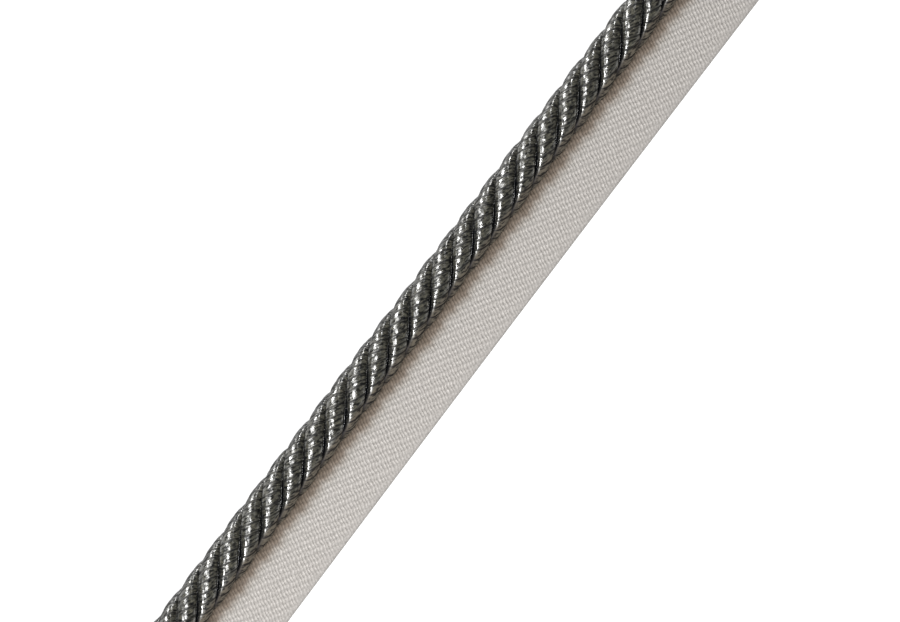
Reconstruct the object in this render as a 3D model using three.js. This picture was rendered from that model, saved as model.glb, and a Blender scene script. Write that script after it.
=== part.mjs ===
// A cut length of flanged cord trimming, lying flat: a thick four-strand twisted cord,
// and the flat woven tape along one side that a maker sews into a seam.
// Millimetres. +X runs along the cord, the tape lies on the -Y side, +Z is up,
// and the underside rests on Z = 0.

import * as THREE from "three";

// Driving dimensions
const cutLength = 200;
const cordDiameter = 9.0;
const strandCount = 4;
// one full turn of a strand about the cord, a left-hand twist
const layLength = 29.2;
// each strand's own section, squeezed flatter against its neighbours
const strandHalfDepth = 1.7;
const strandHalfBreadth = 2.6;
// where one strand crosses the top of the cord, along X
const strandTopAt = 4.35;
// how much the soft strands flatten where they rest
const restingFlat = 0.12;
const tapeThickness = 1.0;
// from the cord's axis to the tape's outer edge, halfway along and at the two ends
const edgeReachMiddle = 17.7;
const edgeReachEnd = 18.1;
// the tape's inner edge is tucked under the cord, this far from its strands
const tuckGap = 0.3;

// Fineness of the faceted surfaces
const pointsPerStrand = 7;
const twistPerStep = 18;
const tapeSegments = 24;

// Worked out from the dimensions above
const cordRadius = cordDiameter / 2;
const axisHeight = cordRadius - restingFlat;
const strandPitch = (2 * Math.PI) / strandCount;
const cordSteps = Math.round((cutLength / layLength) * (360 / twistPerStep));
const tuckDepth = Math.sqrt((cordRadius + tuckGap) ** 2 - (axisHeight - tapeThickness) ** 2);
// the whole width is centred on Y = 0
const axisY = (edgeReachEnd - cordRadius) / 2;

// The angle on the strand's ellipse at which it meets the next strand
function meetingAngle() {
  const strandCentre = cordRadius - strandHalfDepth;
  const slope = Math.tan(strandPitch / 2);
  const reach = Math.hypot(strandHalfBreadth, strandHalfDepth * slope);
  const lead = Math.atan2(strandHalfDepth * slope, strandHalfBreadth);
  return lead + Math.asin((strandCentre * slope) / reach);
}

// The cord's outline across its axis: one round lobe for each strand, a groove between each two
function cordOutline() {
  const strandCentre = cordRadius - strandHalfDepth;
  const grooveAngle = meetingAngle();
  const points = [];
  for (let strand = 0; strand < strandCount; strand += 1) {
    for (let i = 0; i < pointsPerStrand; i += 1) {
      const t = grooveAngle * ((2 * i) / pointsPerStrand - 1);
      const out = strandCentre + strandHalfDepth * Math.cos(t);
      const along = strandHalfBreadth * Math.sin(t);
      const turn = strand * strandPitch;
      points.push(new THREE.Vector2(
        out * Math.sin(turn) + along * Math.cos(turn),
        out * Math.cos(turn) - along * Math.sin(turn),
      ));
    }
  }
  return new THREE.Shape(points);
}

// The straight lobed bar is twisted, laid along X, and flattened where it rests
function twistedCord() {
  const bar = new THREE.ExtrudeGeometry(cordOutline(), {
    depth: cutLength,
    steps: cordSteps,
    bevelEnabled: false,
  });
  const position = bar.getAttribute("position");
  for (let i = 0; i < position.count; i += 1) {
    const x = position.getZ(i) - cutLength / 2;
    const turn = (2 * Math.PI * (x - strandTopAt)) / layLength;
    const side = position.getX(i) * Math.cos(turn) + position.getY(i) * Math.sin(turn);
    const up = position.getY(i) * Math.cos(turn) - position.getX(i) * Math.sin(turn);
    position.setXYZ(i, x, side, Math.max(up, -axisHeight));
  }
  bar.deleteAttribute("normal");
  bar.deleteAttribute("uv");
  bar.computeVertexNormals();
  return bar;
}

// The tape is a flat strip whose outer edge bows in slightly halfway along
function flatTape() {
  const half = cutLength / 2;
  const outline = new THREE.Shape();
  outline.moveTo(-half, -tuckDepth);
  outline.lineTo(-half, -edgeReachEnd);
  outline.quadraticCurveTo(0, edgeReachEnd - 2 * edgeReachMiddle, half, -edgeReachEnd);
  outline.lineTo(half, -tuckDepth);
  outline.closePath();
  return new THREE.ExtrudeGeometry(outline, {
    depth: tapeThickness,
    curveSegments: tapeSegments,
    bevelEnabled: false,
  });
}

const cordYarn = new THREE.MeshStandardMaterial({ color: 0x4b4b44, roughness: 0.45, metalness: 0 });
const tapeCloth = new THREE.MeshStandardMaterial({ color: 0xbfbab5, roughness: 0.9, metalness: 0 });

const cord = new THREE.Mesh(twistedCord(), cordYarn);
cord.name = "cord";
cord.position.set(0, axisY, axisHeight);

const tape = new THREE.Mesh(flatTape(), tapeCloth);
tape.name = "tape";
tape.position.set(0, axisY, 0);

const trimming = new THREE.Group();
trimming.add(cord, tape);

export default trimming;
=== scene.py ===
"""Flanged cord trimming: a dark, lustrous four-strand twisted cord and the pale twill tape along it.

Seen from straight above on a plain white surface. Lengths are metres, made from sizes in millimetres.
"""

import math

import bpy
import numpy as np
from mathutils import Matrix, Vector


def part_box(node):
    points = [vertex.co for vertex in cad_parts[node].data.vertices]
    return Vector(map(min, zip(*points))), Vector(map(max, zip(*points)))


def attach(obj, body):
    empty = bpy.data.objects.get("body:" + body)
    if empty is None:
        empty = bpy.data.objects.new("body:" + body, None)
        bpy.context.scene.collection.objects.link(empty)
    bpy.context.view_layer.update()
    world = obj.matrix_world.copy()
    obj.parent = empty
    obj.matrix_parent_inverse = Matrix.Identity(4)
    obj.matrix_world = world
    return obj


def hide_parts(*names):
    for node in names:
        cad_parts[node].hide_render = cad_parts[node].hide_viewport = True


MM = 0.001

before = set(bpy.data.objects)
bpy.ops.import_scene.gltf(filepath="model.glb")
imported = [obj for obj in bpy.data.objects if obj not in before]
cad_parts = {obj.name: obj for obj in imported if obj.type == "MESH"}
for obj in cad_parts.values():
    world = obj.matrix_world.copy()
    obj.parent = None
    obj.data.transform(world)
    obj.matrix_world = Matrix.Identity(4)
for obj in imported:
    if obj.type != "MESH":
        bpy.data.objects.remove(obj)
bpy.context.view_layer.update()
cord_low, cord_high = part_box("cord")
tape_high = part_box("tape")[1]

# The cord, in millimetres
CORD_LENGTH = (cord_high[0] - cord_low[0]) / MM
CORD_RADIUS = 4.5
STRANDS = 4
LAY = 29.2
STRAND_TOP_AT = 4.35
STRAND_HALF_DEPTH = 1.7
STRAND_HALF_BREADTH = 2.37
RESTING_FLAT = 0.12
AXIS_Y = (cord_low[1] + cord_high[1]) / 2 / MM
AXIS_Z = CORD_RADIUS - RESTING_FLAT

# The shiny yarns wound round each strand, which start further round on each next one
WRAPS = 2
WRAP_LEAD = 3.85
WRAP_DEPTH = 0.11
WRAP_FULLNESS = 0.93
WRAP_START_STEP = 1.7

# How unevenly strands and yarns lie: waves of (length, height), with the first strand's seed
WANDER_SEED = 20
WANDER_WAVES = ((61, 0.05), (23, 0.04), (9.7, 0.03))
SWELL_SEED = 40
SWELL_WAVES = ((37, 0.035), (13, 0.03))
SLIP_SEED = 60
SLIP_WAVES = ((47, 0.35), (17, 0.2), (7, 0.12))

# The painted shade on a strand's two flanks, where 1 is the groove's angle
FREE_FLANK_FROM = 0.5
FREE_FLANK_FULL = 0.85
FREE_FLANK_SHADE = 0.85
TAPE_FLANK_FROM = 0.9
TAPE_FLANK_SHADE = 0.6

# The painted shade along the cord's rim on its free side, measured from the axis
FREE_RIM_FROM = 3.2
FREE_RIM_FULL = 4.2
FREE_RIM_SHADE = 0.6

# Lint from the tape dulls the cord's flank beside it, from here to here, measured from the axis
LINT_FROM = 2.55
LINT_FULL = 3.2

# Where painted shade marks the strands' parting on a cut end: from this share of the groove's angle, and
# in the middle
PARTING_FROM = 0.8
PARTING_IN_MIDDLE = 0.85

# How finely the cord is drawn, and the points along its axis
CORD_ROWS = 660
COLUMNS_PER_STRAND = 36

# The cord's map: its scale along the strands, and a step across it from strand to strand
MAP_PER_MM = 0.1
MAP_STRAND_STEP = 7

# The tape, in millimetres
TAPE_THICKNESS = tape_high[2] / MM
TAPE_INNER_Y = tape_high[1] / MM
EDGE_REACH_MIDDLE = 17.7
EDGE_REACH_END = 18.1
EDGE_ROUNDING = 0.35
OUTER_EDGE_DROP = 0.45
TUCKED_EDGE_DROP = 0.3

# The firmer selvedge, where the weave flattens to a share of its relief and is drawn darker, partly as
# painted shade
SELVEDGE = 2.2
SELVEDGE_RELIEF = 0.25
SELVEDGE_DARKER = 0.25
# painted shade along the tape's rounded outer edge, and how wide it is
EDGE_PAINTED_SHADE = 0.9
EDGE_SHADE_WIDTH = 0.45

# The twill: threads along the tape and across it, with a repeat of four
ALONG_PITCH = 0.343
ACROSS_PITCH = 0.585
TWILL_REPEAT = 4
TWILL_RELIEF = 0.16
WIDE_LINES = 0.43
STEEP_LINES = 0.65
FINE_LINES = 0.18

# How unevenly the threads lie: waves of (height, turns per millimetre along and across, phase)
SHIFTS_ALONG = ((0.09, 0.21, 0.37, 0.0), (0.07, 0.47, -0.19, 1.3))
SHIFTS_ACROSS = ((0.06, 0.31, 0.11, 2.1), (0.05, 0.17, -0.5, 0.0))

# The cord's brown fluff and its painted shadow on the tape: how far out they fade, and how unevenly
FLUFF_AND_SHADOW_REACH = 4.2
FLUFF_AND_SHADOW_SEED = 90
FLUFF_AND_SHADOW_WAVES = ((11, 0.18), (4.3, 0.15), (2.1, 0.12))

# How finely the tape is drawn, and how far from its ends the grid stands straight
TAPE_COLUMNS = 1400
TAPE_STEPS = 60
STRAIGHT_END = 12

# The yarn's colours: the body's two shades, lint, painted shade, and the gloss where it is full and dull
YARN_SHADES = ((0.12, (0.010, 0.011, 0.010, 1)), (0.4, (0.098, 0.092, 0.067, 1)))
LINT_COLOUR = (0.1, 0.087, 0.068, 1)
PAINTED_SHADE_COLOUR = (0.003, 0.0045, 0.010, 1)
FULL_GLOSS = (1.0, 1.0, 1.0, 1)
DULL_GLOSS = (0.06, 0.05, 0.04, 1)

# The yarn's filaments: how they cross its run, how fine they and their glints are, how high they
# stand in millimetres, and how far their gloss is turned from the map's first direction
FILAMENT_SKEW = -2.28
FILAMENT_FINENESS = (5.0, 34.0, 1.0)
GLINT_FINENESS = (16.0, 7.0, 1.0)
FILAMENT_HEIGHT = 0.06
GLOSS_TURN = 0.29

# The valley between two yarns, in yarns from the top of one, and its painted shade on the cord and in
# lint
VALLEY_FROM = 0.31
VALLEY_BOTTOM = 0.5
VALLEY_SHADE = 0.55
VALLEY_SHADE_IN_LINT = 0.85

# Painted glints: noise paints shade on filaments as if turned from the light up to one level, none from
# the other
TURNED_BELOW = 0.39
LIT_ABOVE = 0.53
TURNED_SHADE = 0.65

# How rough the yarn is, and the least share of that roughness in a valley's smooth patches
SMOOTH_YARN = 0.25
ROUGH_YARN = 0.7
SMOOTH_PATCH = 0.75

# The cut ends' two shades, and their brightness under the painted shade where the strands part
CUT_SHADES = ((0.35, (0.02, 0.02, 0.017, 1)), (0.65, (0.17, 0.16, 0.13, 1)))
PAINTED_PARTING_BRIGHTNESS = 0.15

# The cloth's two shades, painted shade in its pits and painted light on its floats, and the tints of
# fluff and painted shadow
CLOTH_SHADES = ((0.3, (0.341, 0.321, 0.299, 1)), (0.7, (0.504, 0.478, 0.453, 1)))
PAINTED_PIT_SHADE = 0.66
PAINTED_FLOAT_LIGHT = 1.12
FLUFF_AND_SHADOW_TINTS = (
    (0.03, (0.25, 0.20, 0.155, 1)),
    (0.3, (0.43, 0.365, 0.31, 1)),
    (0.52, (0.74, 0.71, 0.675, 1)),
    (0.75, (0.93, 0.93, 0.92, 1)),
    (1.0, (1.0, 1.0, 1.0, 1)),
)

# Fineness of the textures that are laid out in space, per metre
MOTTLE_FINENESS = 1500.0
CLOTH_FINENESS = 2500.0
SPECK_FINENESS = 3500.0

# The photograph's frame
PHOTO_WIDTH = 900
PIXELS_PER_MM = 4.8
CORD_ANGLE = 52.89
VIEW_CENTRE_FROM_AXIS = 5.73
LENS = 250.0
SENSOR = 36.0

# The floor and the lamps, in metres, and the strength of the even light from all round
FLOOR_REACH = 4.0
FLOOR_DROP = 0.02 * MM
LAMP_SIZE = 0.14
FILL_LIGHT = 0.1


def new_object(name, verts, faces, smooth=True):
    mesh = bpy.data.meshes.new(name)
    mesh.from_pydata(verts, [], faces)
    mesh.update()
    mesh.polygons.foreach_set("use_smooth", [smooth] * len(mesh.polygons))
    piece = bpy.data.objects.new(name, mesh)
    bpy.context.scene.collection.objects.link(piece)
    return piece


def add_values(mesh, label, values):
    """Stores one number per vertex under a name that a material can read."""
    layer = mesh.attributes.new(label, "FLOAT", "POINT")
    layer.data.foreach_set("value", values)


def rising(values, start, full):
    """0 up to the start, 1 from the full value on, and an even rise between them."""
    return np.clip((values - start) / (full - start), 0, 1)


def smooth_wander(x, seed, waves):
    """A gentle unevenness along the length: a few slow waves with seeded phases."""
    rng = np.random.default_rng(seed)
    total = np.zeros_like(x)
    for wavelength, height in waves:
        total += height * np.sin(2 * np.pi * x / wavelength + rng.uniform(0, 2 * np.pi))
    return total


def groove_angle():
    """The angle on a strand's ellipse at which it meets the next strand."""
    centre = CORD_RADIUS - STRAND_HALF_DEPTH
    slope = math.tan(math.pi / STRANDS)
    lead = math.atan2(STRAND_HALF_DEPTH * slope, STRAND_HALF_BREADTH)
    reach = math.hypot(STRAND_HALF_BREADTH, STRAND_HALF_DEPTH * slope)
    return lead + math.asin(centre * slope / reach)


def cord_faces(around):
    """Four-sided faces along the cord, and then a fan round the middle of each cut end."""
    faces = []
    for i in range(CORD_ROWS):
        a = i * around
        b = a + around
        for j in range(around):
            n = (j + 1) % around
            faces.append((a + j, b + j, b + n, a + n))
    last = CORD_ROWS * around
    middle = last + around
    for j in range(around):
        n = (j + 1) % around
        faces.append((middle, j, n))
        faces.append((middle + 1, last + n, last + j))
    return faces


def map_cord(mesh, around, arc, phase):
    """The map "lay": its first direction runs along the strands and its second across their yarns."""
    uv = np.zeros((len(mesh.loops), 2))
    i, j = np.meshgrid(np.arange(CORD_ROWS), np.arange(around), indexing="ij")
    strand = j // COLUMNS_PER_STRAND
    column = j % COLUMNS_PER_STRAND
    for corner, (row_step, column_step) in enumerate(((0, 0), (1, 0), (1, 1), (0, 1))):
        loops = (i * around + j) * 4 + corner
        place = (i + row_step, strand, column + column_step)
        uv[loops, 0] = arc[place] * MAP_PER_MM
        uv[loops, 1] = phase[place] + MAP_STRAND_STEP * strand
    mesh.uv_layers.new(name="lay").data.foreach_set("uv", uv.ravel())


def make_cord():
    """One closed surface: four strands round the axis, each with its wound yarns raised on it."""
    half = CORD_LENGTH / 2
    centre = CORD_RADIUS - STRAND_HALF_DEPTH
    helix = math.atan(2 * math.pi * centre / LAY)
    lean = STRAND_HALF_BREADTH * math.cos(helix) * math.sin(helix)
    limit = groove_angle()
    rows = np.linspace(-half, half, CORD_ROWS + 1)
    # angles on a strand's ellipse, from its groove on the tape's side to the one on the free side
    angles = limit * (2 * np.arange(COLUMNS_PER_STRAND) / COLUMNS_PER_STRAND - 1)
    all_angles = np.append(angles, limit)
    x, angle = np.meshgrid(rows, angles, indexing="ij")
    verts = np.zeros((CORD_ROWS + 1, STRANDS, COLUMNS_PER_STRAND, 3))
    painted_flank_shade = np.zeros((CORD_ROWS + 1, STRANDS, COLUMNS_PER_STRAND))
    lint = np.zeros_like(painted_flank_shade)
    arc = np.zeros((CORD_ROWS + 1, STRANDS, COLUMNS_PER_STRAND + 1))
    phase = np.zeros_like(arc)
    valley = math.sqrt(1 - WRAP_FULLNESS ** 2)
    for k in range(STRANDS):
        wander = smooth_wander(rows, WANDER_SEED + k, WANDER_WAVES)
        swell = smooth_wander(rows, SWELL_SEED + k, SWELL_WAVES)
        slip = smooth_wander(rows, SLIP_SEED + k, SLIP_WAVES)
        turn = 2 * np.pi * (rows - STRAND_TOP_AT + wander) / LAY + k * 2 * np.pi / STRANDS
        turn = turn[:, None]
        run = (rows[:, None] + lean * np.sin(all_angles)[None, :]) / math.cos(helix)
        wound = all_angles[None, :] + 2 * np.pi * run / WRAP_LEAD + slip[:, None] + k * WRAP_START_STEP
        arc[:, k] = run
        phase[:, k] = wound * WRAPS / (2 * np.pi)
        # each yarn is round across, and the strand dips between two of them
        across = phase[:, k] % 1.0 * 2 - 1
        top = np.sqrt(1 - (WRAP_FULLNESS * across) ** 2)
        dip = (WRAP_DEPTH * (1 - top) / (1 - valley))[:, :-1]
        out = centre + (STRAND_HALF_DEPTH - dip + swell[:, None]) * np.cos(angle)
        along = (STRAND_HALF_BREADTH - dip) * np.sin(angle)
        side = out * np.sin(turn) + along * np.cos(turn)
        up = out * np.cos(turn) - along * np.sin(turn)
        verts[:, k, :, 0] = x
        verts[:, k, :, 1] = AXIS_Y + side
        verts[:, k, :, 2] = np.maximum(AXIS_Z + up, 0.0)
        # painted shade: the flanks beside the grooves and the free rim are darkened and their gloss
        # dulled
        free_flank = rising(angle / limit, FREE_FLANK_FROM, FREE_FLANK_FULL) * FREE_FLANK_SHADE
        tape_flank = rising(-angle / limit, TAPE_FLANK_FROM, 1.0) * TAPE_FLANK_SHADE
        free_rim = rising(side, FREE_RIM_FROM, FREE_RIM_FULL) * FREE_RIM_SHADE
        painted_flank_shade[:, k] = np.maximum(np.maximum(free_flank, tape_flank), free_rim)
        lint[:, k] = rising(-side, LINT_FROM, LINT_FULL)
    middles = [[end * half * MM, AXIS_Y * MM, AXIS_Z * MM] for end in (-1, 1)]
    points = np.concatenate([verts.reshape(-1, 3) * MM, middles])
    around = STRANDS * COLUMNS_PER_STRAND
    piece = new_object("twisted_cord", points.tolist(), cord_faces(around))
    mesh = piece.data
    map_cord(mesh, around, arc, phase)
    # on a cut end the strands part along lines of painted shade that meet in the middle
    painted_parting_shade = np.zeros_like(painted_flank_shade)
    painted_parting_shade[:] = rising(np.abs(angles) / limit, PARTING_FROM, 1.0)
    add_values(mesh, "painted_flank_shade", np.append(painted_flank_shade.ravel(), [0.0, 0.0]))
    add_values(mesh, "lint", np.append(lint.ravel(), [0.0, 0.0]))
    add_values(mesh, "painted_parting_shade", np.append(painted_parting_shade.ravel(), [PARTING_IN_MIDDLE, PARTING_IN_MIDDLE]))
    for face in mesh.polygons[-2 * around:]:
        face.use_smooth = False
        face.material_index = 1
    return piece


def shifted(values, x, y, shifts):
    """The values with the threads' uneven lie added to them."""
    for height, along, across, phase in shifts:
        values = values + height * np.sin(2 * np.pi * (along * x + across * y) + phase)
    return values


def twill_height(x, y):
    """The relief of the twill at a point in millimetres: 1 on the floats, about -1 in the small pits."""
    x = shifted(x, x, y, SHIFTS_ALONG)
    y = shifted(y, x, y, SHIFTS_ACROSS)
    across = x / (TWILL_REPEAT * ACROSS_PITCH)
    along = y / (TWILL_REPEAT * ALONG_PITCH)
    wide = 2 * np.pi * (across + along)
    steep = 2 * np.pi * (3 * across - along)
    return WIDE_LINES * np.cos(wide) + STEEP_LINES * np.cos(steep) + FINE_LINES * np.cos(steep - wide)


def edge_reach(x):
    """How far the tape's outer edge lies from the cord's axis. It is bowed in halfway along."""
    half = CORD_LENGTH / 2
    return EDGE_REACH_MIDDLE + (EDGE_REACH_END - EDGE_REACH_MIDDLE) * (x / half) ** 2


def make_tape():
    """A flat strip whose upper face carries the twill's relief. Its grid leans with the steep lines."""
    half = CORD_LENGTH / 2
    lean = ACROSS_PITCH / (3 * ALONG_PITCH)
    inner = AXIS_Y - TAPE_INNER_Y
    width = EDGE_REACH_MIDDLE - inner
    columns = np.linspace(0, 1, TAPE_COLUMNS + 1)
    steps = np.linspace(0, 1, TAPE_STEPS + 1)
    column, step = np.meshgrid(columns, steps, indexing="ij")
    # away from the two ends the grid's cross lines lean with the twill
    fade = rising(np.minimum(column, 1 - column) * 2 * half, 0, STRAIGHT_END)
    fade = fade * fade * (3 - 2 * fade)
    x = -half + column * 2 * half + (0.5 - step) * width * lean * fade
    reach = edge_reach(x)
    from_axis = inner + step * (reach - inner)
    from_edge = reach - from_axis
    y = AXIS_Y - from_axis
    relief = np.clip(from_edge / SELVEDGE, SELVEDGE_RELIEF, 1) * twill_height(x, y)
    hump = 1 - OUTER_EDGE_DROP * (1 - rising(from_edge, 0, EDGE_ROUNDING)) ** 2
    hump *= 1 - TUCKED_EDGE_DROP * (1 - rising(from_axis - inner, 0, EDGE_ROUNDING)) ** 2
    top = TAPE_THICKNESS * hump - TWILL_RELIEF + TWILL_RELIEF * relief

    # the upper face, a ring below its edge, walls between the two, and one face underneath
    upper = np.stack([x, y, top], -1).reshape(-1, 3)
    per_column = TAPE_STEPS + 1
    rim = [(c, 0) for c in range(TAPE_COLUMNS + 1)]
    rim += [(TAPE_COLUMNS, s) for s in range(1, per_column)]
    rim += [(c, TAPE_STEPS) for c in range(TAPE_COLUMNS - 1, -1, -1)]
    rim += [(0, s) for s in range(TAPE_STEPS - 1, 0, -1)]
    rim_top = np.array([c * per_column + s for c, s in rim])
    lower = upper[rim_top].copy()
    lower[:, 2] = 0
    points = np.concatenate([upper, lower]) * MM
    faces = []
    for c in range(TAPE_COLUMNS):
        a = c * per_column
        b = a + per_column
        for s in range(TAPE_STEPS):
            faces.append((a + s, a + s + 1, b + s + 1, b + s))
    base = len(upper)
    count = len(rim)
    for r in range(count):
        n = (r + 1) % count
        faces.append((int(rim_top[r]), int(rim_top[n]), base + n, base + r))
    faces.append(tuple(base + r for r in range(count)))
    piece = new_object("twill_tape", points.tolist(), faces)

    firm = 1 - np.clip(from_edge / SELVEDGE, SELVEDGE_RELIEF, 1)
    # painted light on the twill's floats and painted shade in its pits, by the relief's height, less the
    # selvedge's darkening
    level = 0.5 + 0.5 * relief - SELVEDGE_DARKER * firm
    # painted shade along the rounded outer edge
    level -= EDGE_PAINTED_SHADE * (1 - rising(from_edge, 0, EDGE_SHADE_WIDTH))
    # the cord's brown fluff and its painted shadow fade out away from the cord
    uneven = smooth_wander(x, FLUFF_AND_SHADOW_SEED, FLUFF_AND_SHADOW_WAVES)
    away = rising(from_axis - CORD_RADIUS + uneven, 0, FLUFF_AND_SHADOW_REACH)
    for label, values in (("weave_and_painted_shading", level.ravel()), ("away", away.ravel())):
        add_values(piece.data, label, np.concatenate([values, values[rim_top]]))
    return piece


def principled(name):
    """A new material with its node tree and its shader."""
    material = bpy.data.materials.new(name)
    material.use_nodes = True
    return material, material.node_tree, material.node_tree.nodes["Principled BSDF"]


def feed(tree, socket, value):
    """Links another node's output to a socket, or sets the socket to a plain value."""
    if isinstance(value, bpy.types.NodeSocket):
        tree.links.new(value, socket)
    else:
        socket.default_value = value


def stored(tree, name):
    """The numbers that a mesh stores under a name."""
    node = tree.nodes.new("ShaderNodeAttribute")
    node.attribute_name = name
    return node.outputs["Fac"]


def in_space(tree):
    """The place on the piece, in metres."""
    return tree.nodes.new("ShaderNodeTexCoord").outputs["Object"]


def stretched(tree, vector, fineness):
    """The place with each direction drawn out by a fineness of its own."""
    node = tree.nodes.new("ShaderNodeMapping")
    node.inputs["Scale"].default_value = fineness
    tree.links.new(vector, node.inputs["Vector"])
    return node.outputs["Vector"]


def noise(tree, vector, detail, fineness=1.0):
    node = tree.nodes.new("ShaderNodeTexNoise")
    node.inputs["Scale"].default_value = fineness
    node.inputs["Detail"].default_value = detail
    tree.links.new(vector, node.inputs["Vector"])
    return node.outputs["Fac"]


def worked_out(tree, operation, *values):
    """The result of one math node on outputs and plain numbers."""
    node = tree.nodes.new("ShaderNodeMath")
    node.operation = operation
    for socket, value in zip(node.inputs, values):
        feed(tree, socket, value)
    return node.outputs["Value"]


def ranged(tree, value, start=0.0, full=1.0, low=0.0, high=1.0, eased=False):
    """The low value up to the start, the high one from the full value on."""
    node = tree.nodes.new("ShaderNodeMapRange")
    if eased:
        node.interpolation_type = "SMOOTHSTEP"
    node.inputs["From Min"].default_value = start
    node.inputs["From Max"].default_value = full
    node.inputs["To Min"].default_value = low
    node.inputs["To Max"].default_value = high
    tree.links.new(value, node.inputs["Value"])
    return node.outputs["Result"]


def shades(tree, value, stops):
    """A colour that runs through the stops, each a position and a colour."""
    node = tree.nodes.new("ShaderNodeValToRGB")
    elements = node.color_ramp.elements
    for element, (position, colour) in zip(elements, (stops[0], stops[-1])):
        element.position = position
        element.color = colour
    for position, colour in stops[1:-1]:
        elements.new(position).color = colour
    tree.links.new(value, node.inputs["Fac"])
    return node.outputs["Color"]


def blended(tree, factor, first, second):
    """The first colour at a factor of 0, and the second at 1."""
    node = tree.nodes.new("ShaderNodeMix")
    node.data_type = "RGBA"
    tree.links.new(factor, node.inputs["Factor"])
    feed(tree, node.inputs["A"], first)
    feed(tree, node.inputs["B"], second)
    return node.outputs["Result"]


def dimmed(tree, colour, factor):
    """The colour times a brightness."""
    node = tree.nodes.new("ShaderNodeVectorMath")
    node.operation = "SCALE"
    tree.links.new(colour, node.inputs[0])
    tree.links.new(factor, node.inputs["Scale"])
    return node.outputs["Vector"]


def yarn_material():
    """Lustrous yarn, whose gloss follows its filaments and is lost in lint and under painted shade at
    grooves, rim, valleys and turned filaments.
    """
    material, tree, shader = principled("lustrous_yarn")
    lay = tree.nodes.new("ShaderNodeUVMap")
    lay.uv_map = "lay"
    tangent = tree.nodes.new("ShaderNodeTangent")
    tangent.direction_type = "UV_MAP"
    tangent.uv_map = "lay"
    parts = tree.nodes.new("ShaderNodeSeparateXYZ")
    tree.links.new(lay.outputs["UV"], parts.inputs["Vector"])
    along = parts.outputs["X"]
    across = parts.outputs["Y"]

    # the filaments lie a little nearer to the strand's run than the yarn does
    skewed = tree.nodes.new("ShaderNodeCombineXYZ")
    tree.links.new(along, skewed.inputs["X"])
    tree.links.new(worked_out(tree, "MULTIPLY_ADD", along, FILAMENT_SKEW, across), skewed.inputs["Y"])
    filaments = skewed.outputs["Vector"]
    fibres = noise(tree, stretched(tree, filaments, FILAMENT_FINENESS), detail=2.0)
    mottle = noise(tree, in_space(tree), detail=3.0, fineness=MOTTLE_FINENESS)
    body = shades(tree, worked_out(tree, "MULTIPLY", fibres, mottle), YARN_SHADES)

    # where shade is painted: beside the grooves between strands, along the free rim, and in the valleys
    # between yarns
    painted_flank_shade = stored(tree, "painted_flank_shade")
    lint = stored(tree, "lint")
    turn = worked_out(tree, "FRACT", across)
    from_top = worked_out(tree, "ABSOLUTE", worked_out(tree, "SUBTRACT", turn, 0.5))
    # painted shade in the valley between two yarns, darker under lint
    valley = ranged(tree, from_top, start=VALLEY_FROM, full=VALLEY_BOTTOM, eased=True)
    darker = ranged(tree, lint, low=VALLEY_SHADE, high=VALLEY_SHADE_IN_LINT)
    valley_shade = worked_out(tree, "MULTIPLY", valley, darker)

    # painted shade on filaments as if turned from the light, so that single ones beside them seem to
    # catch it
    glints = noise(tree, stretched(tree, filaments, GLINT_FINENESS), detail=2.0)
    turned = ranged(
        tree, glints, start=TURNED_BELOW, full=LIT_ABOVE, low=TURNED_SHADE, high=0.0, eased=True
    )
    turned_and_valley_shade = worked_out(tree, "MAXIMUM", turned, valley_shade)
    shadow = worked_out(tree, "MAXIMUM", painted_flank_shade, turned_and_valley_shade)

    # lint tints the body, and painted shade sinks it to nearly black
    dusty = blended(tree, lint, body, LINT_COLOUR)
    shaded_colour = blended(tree, shadow, dusty, PAINTED_SHADE_COLOUR)
    # lint dulls the gloss, and the painted shade of turned filaments and valleys dulls it too
    glossless = worked_out(tree, "MAXIMUM", lint, turned_and_valley_shade)
    dull = blended(tree, glossless, FULL_GLOSS, DULL_GLOSS)
    # lint and valleys are rougher too, the valleys in patches
    patchy = ranged(tree, mottle, start=0.35, full=0.6, low=SMOOTH_PATCH)
    broken = worked_out(tree, "MULTIPLY", valley, patchy)
    coarse = worked_out(tree, "MAXIMUM", broken, lint)
    rough = ranged(tree, coarse, low=SMOOTH_YARN, high=ROUGH_YARN)

    bump = tree.nodes.new("ShaderNodeBump")
    bump.inputs["Strength"].default_value = 0.2
    bump.inputs["Distance"].default_value = FILAMENT_HEIGHT * MM
    tree.links.new(fibres, bump.inputs["Height"])
    tree.links.new(shaded_colour, shader.inputs["Base Color"])
    tree.links.new(shadow, shader.inputs["Metallic"])
    tree.links.new(rough, shader.inputs["Roughness"])
    tree.links.new(dull, shader.inputs["Specular Tint"])
    tree.links.new(bump.outputs["Normal"], shader.inputs["Normal"])
    tree.links.new(tangent.outputs["Tangent"], shader.inputs["Tangent"])
    shader.inputs["Anisotropic"].default_value = 1.0
    shader.inputs["Anisotropic Rotation"].default_value = GLOSS_TURN
    shader.inputs["IOR"].default_value = 2.3
    return material


def cut_end_material():
    """The cut ends of the yarns: dull, speckled, and darkened with painted shade where the strands part.
    """
    material, tree, shader = principled("cut_yarn")
    specks = noise(tree, in_space(tree), detail=2.0, fineness=SPECK_FINENESS)
    painted_parting_shade = stored(tree, "painted_parting_shade")
    # painted shade where the strands part on the cut end
    darker = ranged(tree, painted_parting_shade, start=0.4, full=0.85, low=1.0, high=PAINTED_PARTING_BRIGHTNESS)
    strands = dimmed(tree, shades(tree, specks, CUT_SHADES), darker)
    tree.links.new(strands, shader.inputs["Base Color"])
    shader.inputs["Roughness"].default_value = 0.9
    return material


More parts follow.
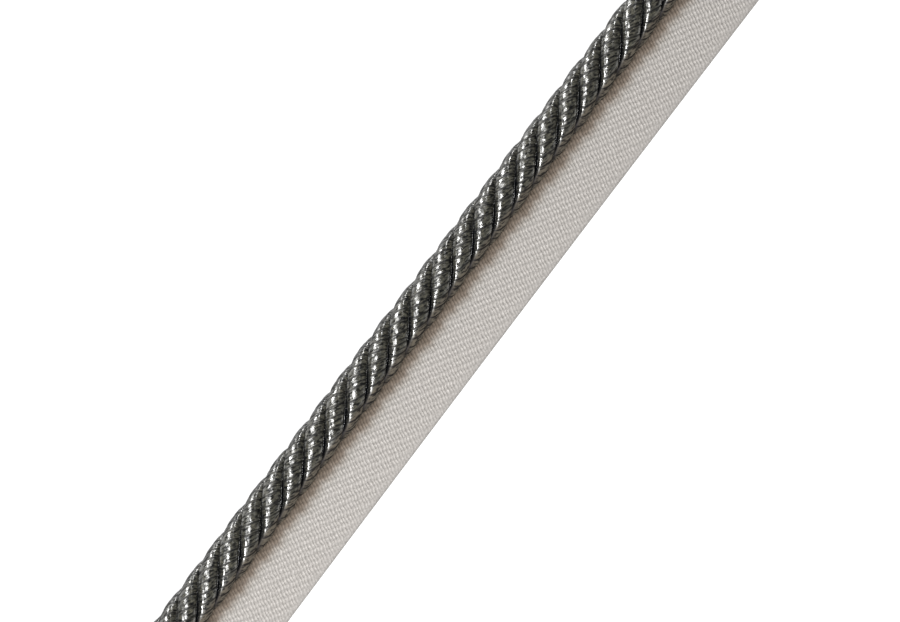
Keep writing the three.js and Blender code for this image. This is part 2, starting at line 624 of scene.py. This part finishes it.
def tape_material():
    """Pale cloth with painted light on the twill's floats and painted shade in its pits, brown with
    fluff and the cord's painted shadow beside the cord.
    """
    material, tree, shader = principled("twill_cloth")
    grain = noise(tree, in_space(tree), detail=3.0, fineness=CLOTH_FINENESS)
    cloth = shades(tree, grain, CLOTH_SHADES)
    # painted shade in the pits and painted light on the floats
    floats = ranged(tree, stored(tree, "weave_and_painted_shading"), low=PAINTED_PIT_SHADE, high=PAINTED_FLOAT_LIGHT)
    tinted = tree.nodes.new("ShaderNodeVectorMath")
    tinted.operation = "MULTIPLY"
    tree.links.new(dimmed(tree, cloth, floats), tinted.inputs[0])
    tree.links.new(shades(tree, stored(tree, "away"), FLUFF_AND_SHADOW_TINTS), tinted.inputs[1])
    tree.links.new(tinted.outputs["Vector"], shader.inputs["Base Color"])
    shader.inputs["Roughness"].default_value = 0.85
    return material


def floor_material():
    """White paper, which glows a little so that it stays an even white in the picture."""
    material, _, shader = principled("pale_floor")
    shader.inputs["Base Color"].default_value = (0.3, 0.3, 0.3, 1)
    shader.inputs["Roughness"].default_value = 0.9
    shader.inputs["Emission Color"].default_value = (1, 1, 1, 1)
    shader.inputs["Emission Strength"].default_value = 0.8
    return material


def make_floor():
    low = -FLOOR_REACH
    high = FLOOR_REACH
    corners = [(low, low, 0), (high, low, 0), (high, high, 0), (low, high, 0)]
    floor = new_object("floor", corners, [(0, 1, 2, 3)], smooth=False)
    floor.location.z = -FLOOR_DROP
    floor.data.materials.append(floor_material())


def make_camera():
    """Straight above, far off through a long lens, and rolled so that the cord climbs to the right."""
    field = PHOTO_WIDTH / PIXELS_PER_MM * MM
    distance = LENS * field / SENSOR
    lens = bpy.data.cameras.new("camera")
    lens.lens = LENS
    lens.sensor_width = SENSOR
    camera = bpy.data.objects.new("camera", lens)
    bpy.context.scene.collection.objects.link(camera)
    camera.location = (0, (AXIS_Y - VIEW_CENTRE_FROM_AXIS) * MM, AXIS_Z * MM + distance)
    camera.rotation_euler = (0, 0, -math.radians(CORD_ANGLE))
    bpy.context.scene.camera = camera


def make_lamp(name, elevation, bearing, energy):
    """A round soft box one metre off that faces the part. Angles in degrees, the bearing from +X."""
    light = bpy.data.lights.new(name, "AREA")
    light.shape = "DISK"
    light.size = LAMP_SIZE
    light.energy = energy
    lamp = bpy.data.objects.new(name, light)
    bpy.context.scene.collection.objects.link(lamp)
    up = math.radians(elevation)
    heading = math.radians(bearing)
    flat = math.cos(up)
    lamp.location = (flat * math.cos(heading), flat * math.sin(heading), math.sin(up))
    lamp.rotation_euler = (math.radians(90) - up, 0, heading + math.radians(90))


def make_lights():
    """Lamps from the foot of the picture, from overhead and low on the cord's free side, and a fill."""
    make_lamp("key", elevation=50, bearing=-150, energy=10.7)
    make_lamp("overhead", elevation=80, bearing=165, energy=5.4)
    make_lamp("side_light", elevation=18, bearing=90, energy=4.8)
    make_lamp("rim_light", elevation=12, bearing=60, energy=3.2)
    world = bpy.data.worlds.new("room")
    world.use_nodes = True
    background = world.node_tree.nodes["Background"]
    background.inputs["Color"].default_value = (1, 1, 1, 1)
    background.inputs["Strength"].default_value = FILL_LIGHT
    bpy.context.scene.world = world
    bpy.context.scene.view_settings.view_transform = "Standard"


make_camera()

cord = make_cord()
cord.data.materials.append(yarn_material())
cord.data.materials.append(cut_end_material())
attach(cord, "root")
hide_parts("cord")

tape = make_tape()
tape.data.materials.append(tape_material())
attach(tape, "root")
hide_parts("tape")

make_floor()
make_lights()
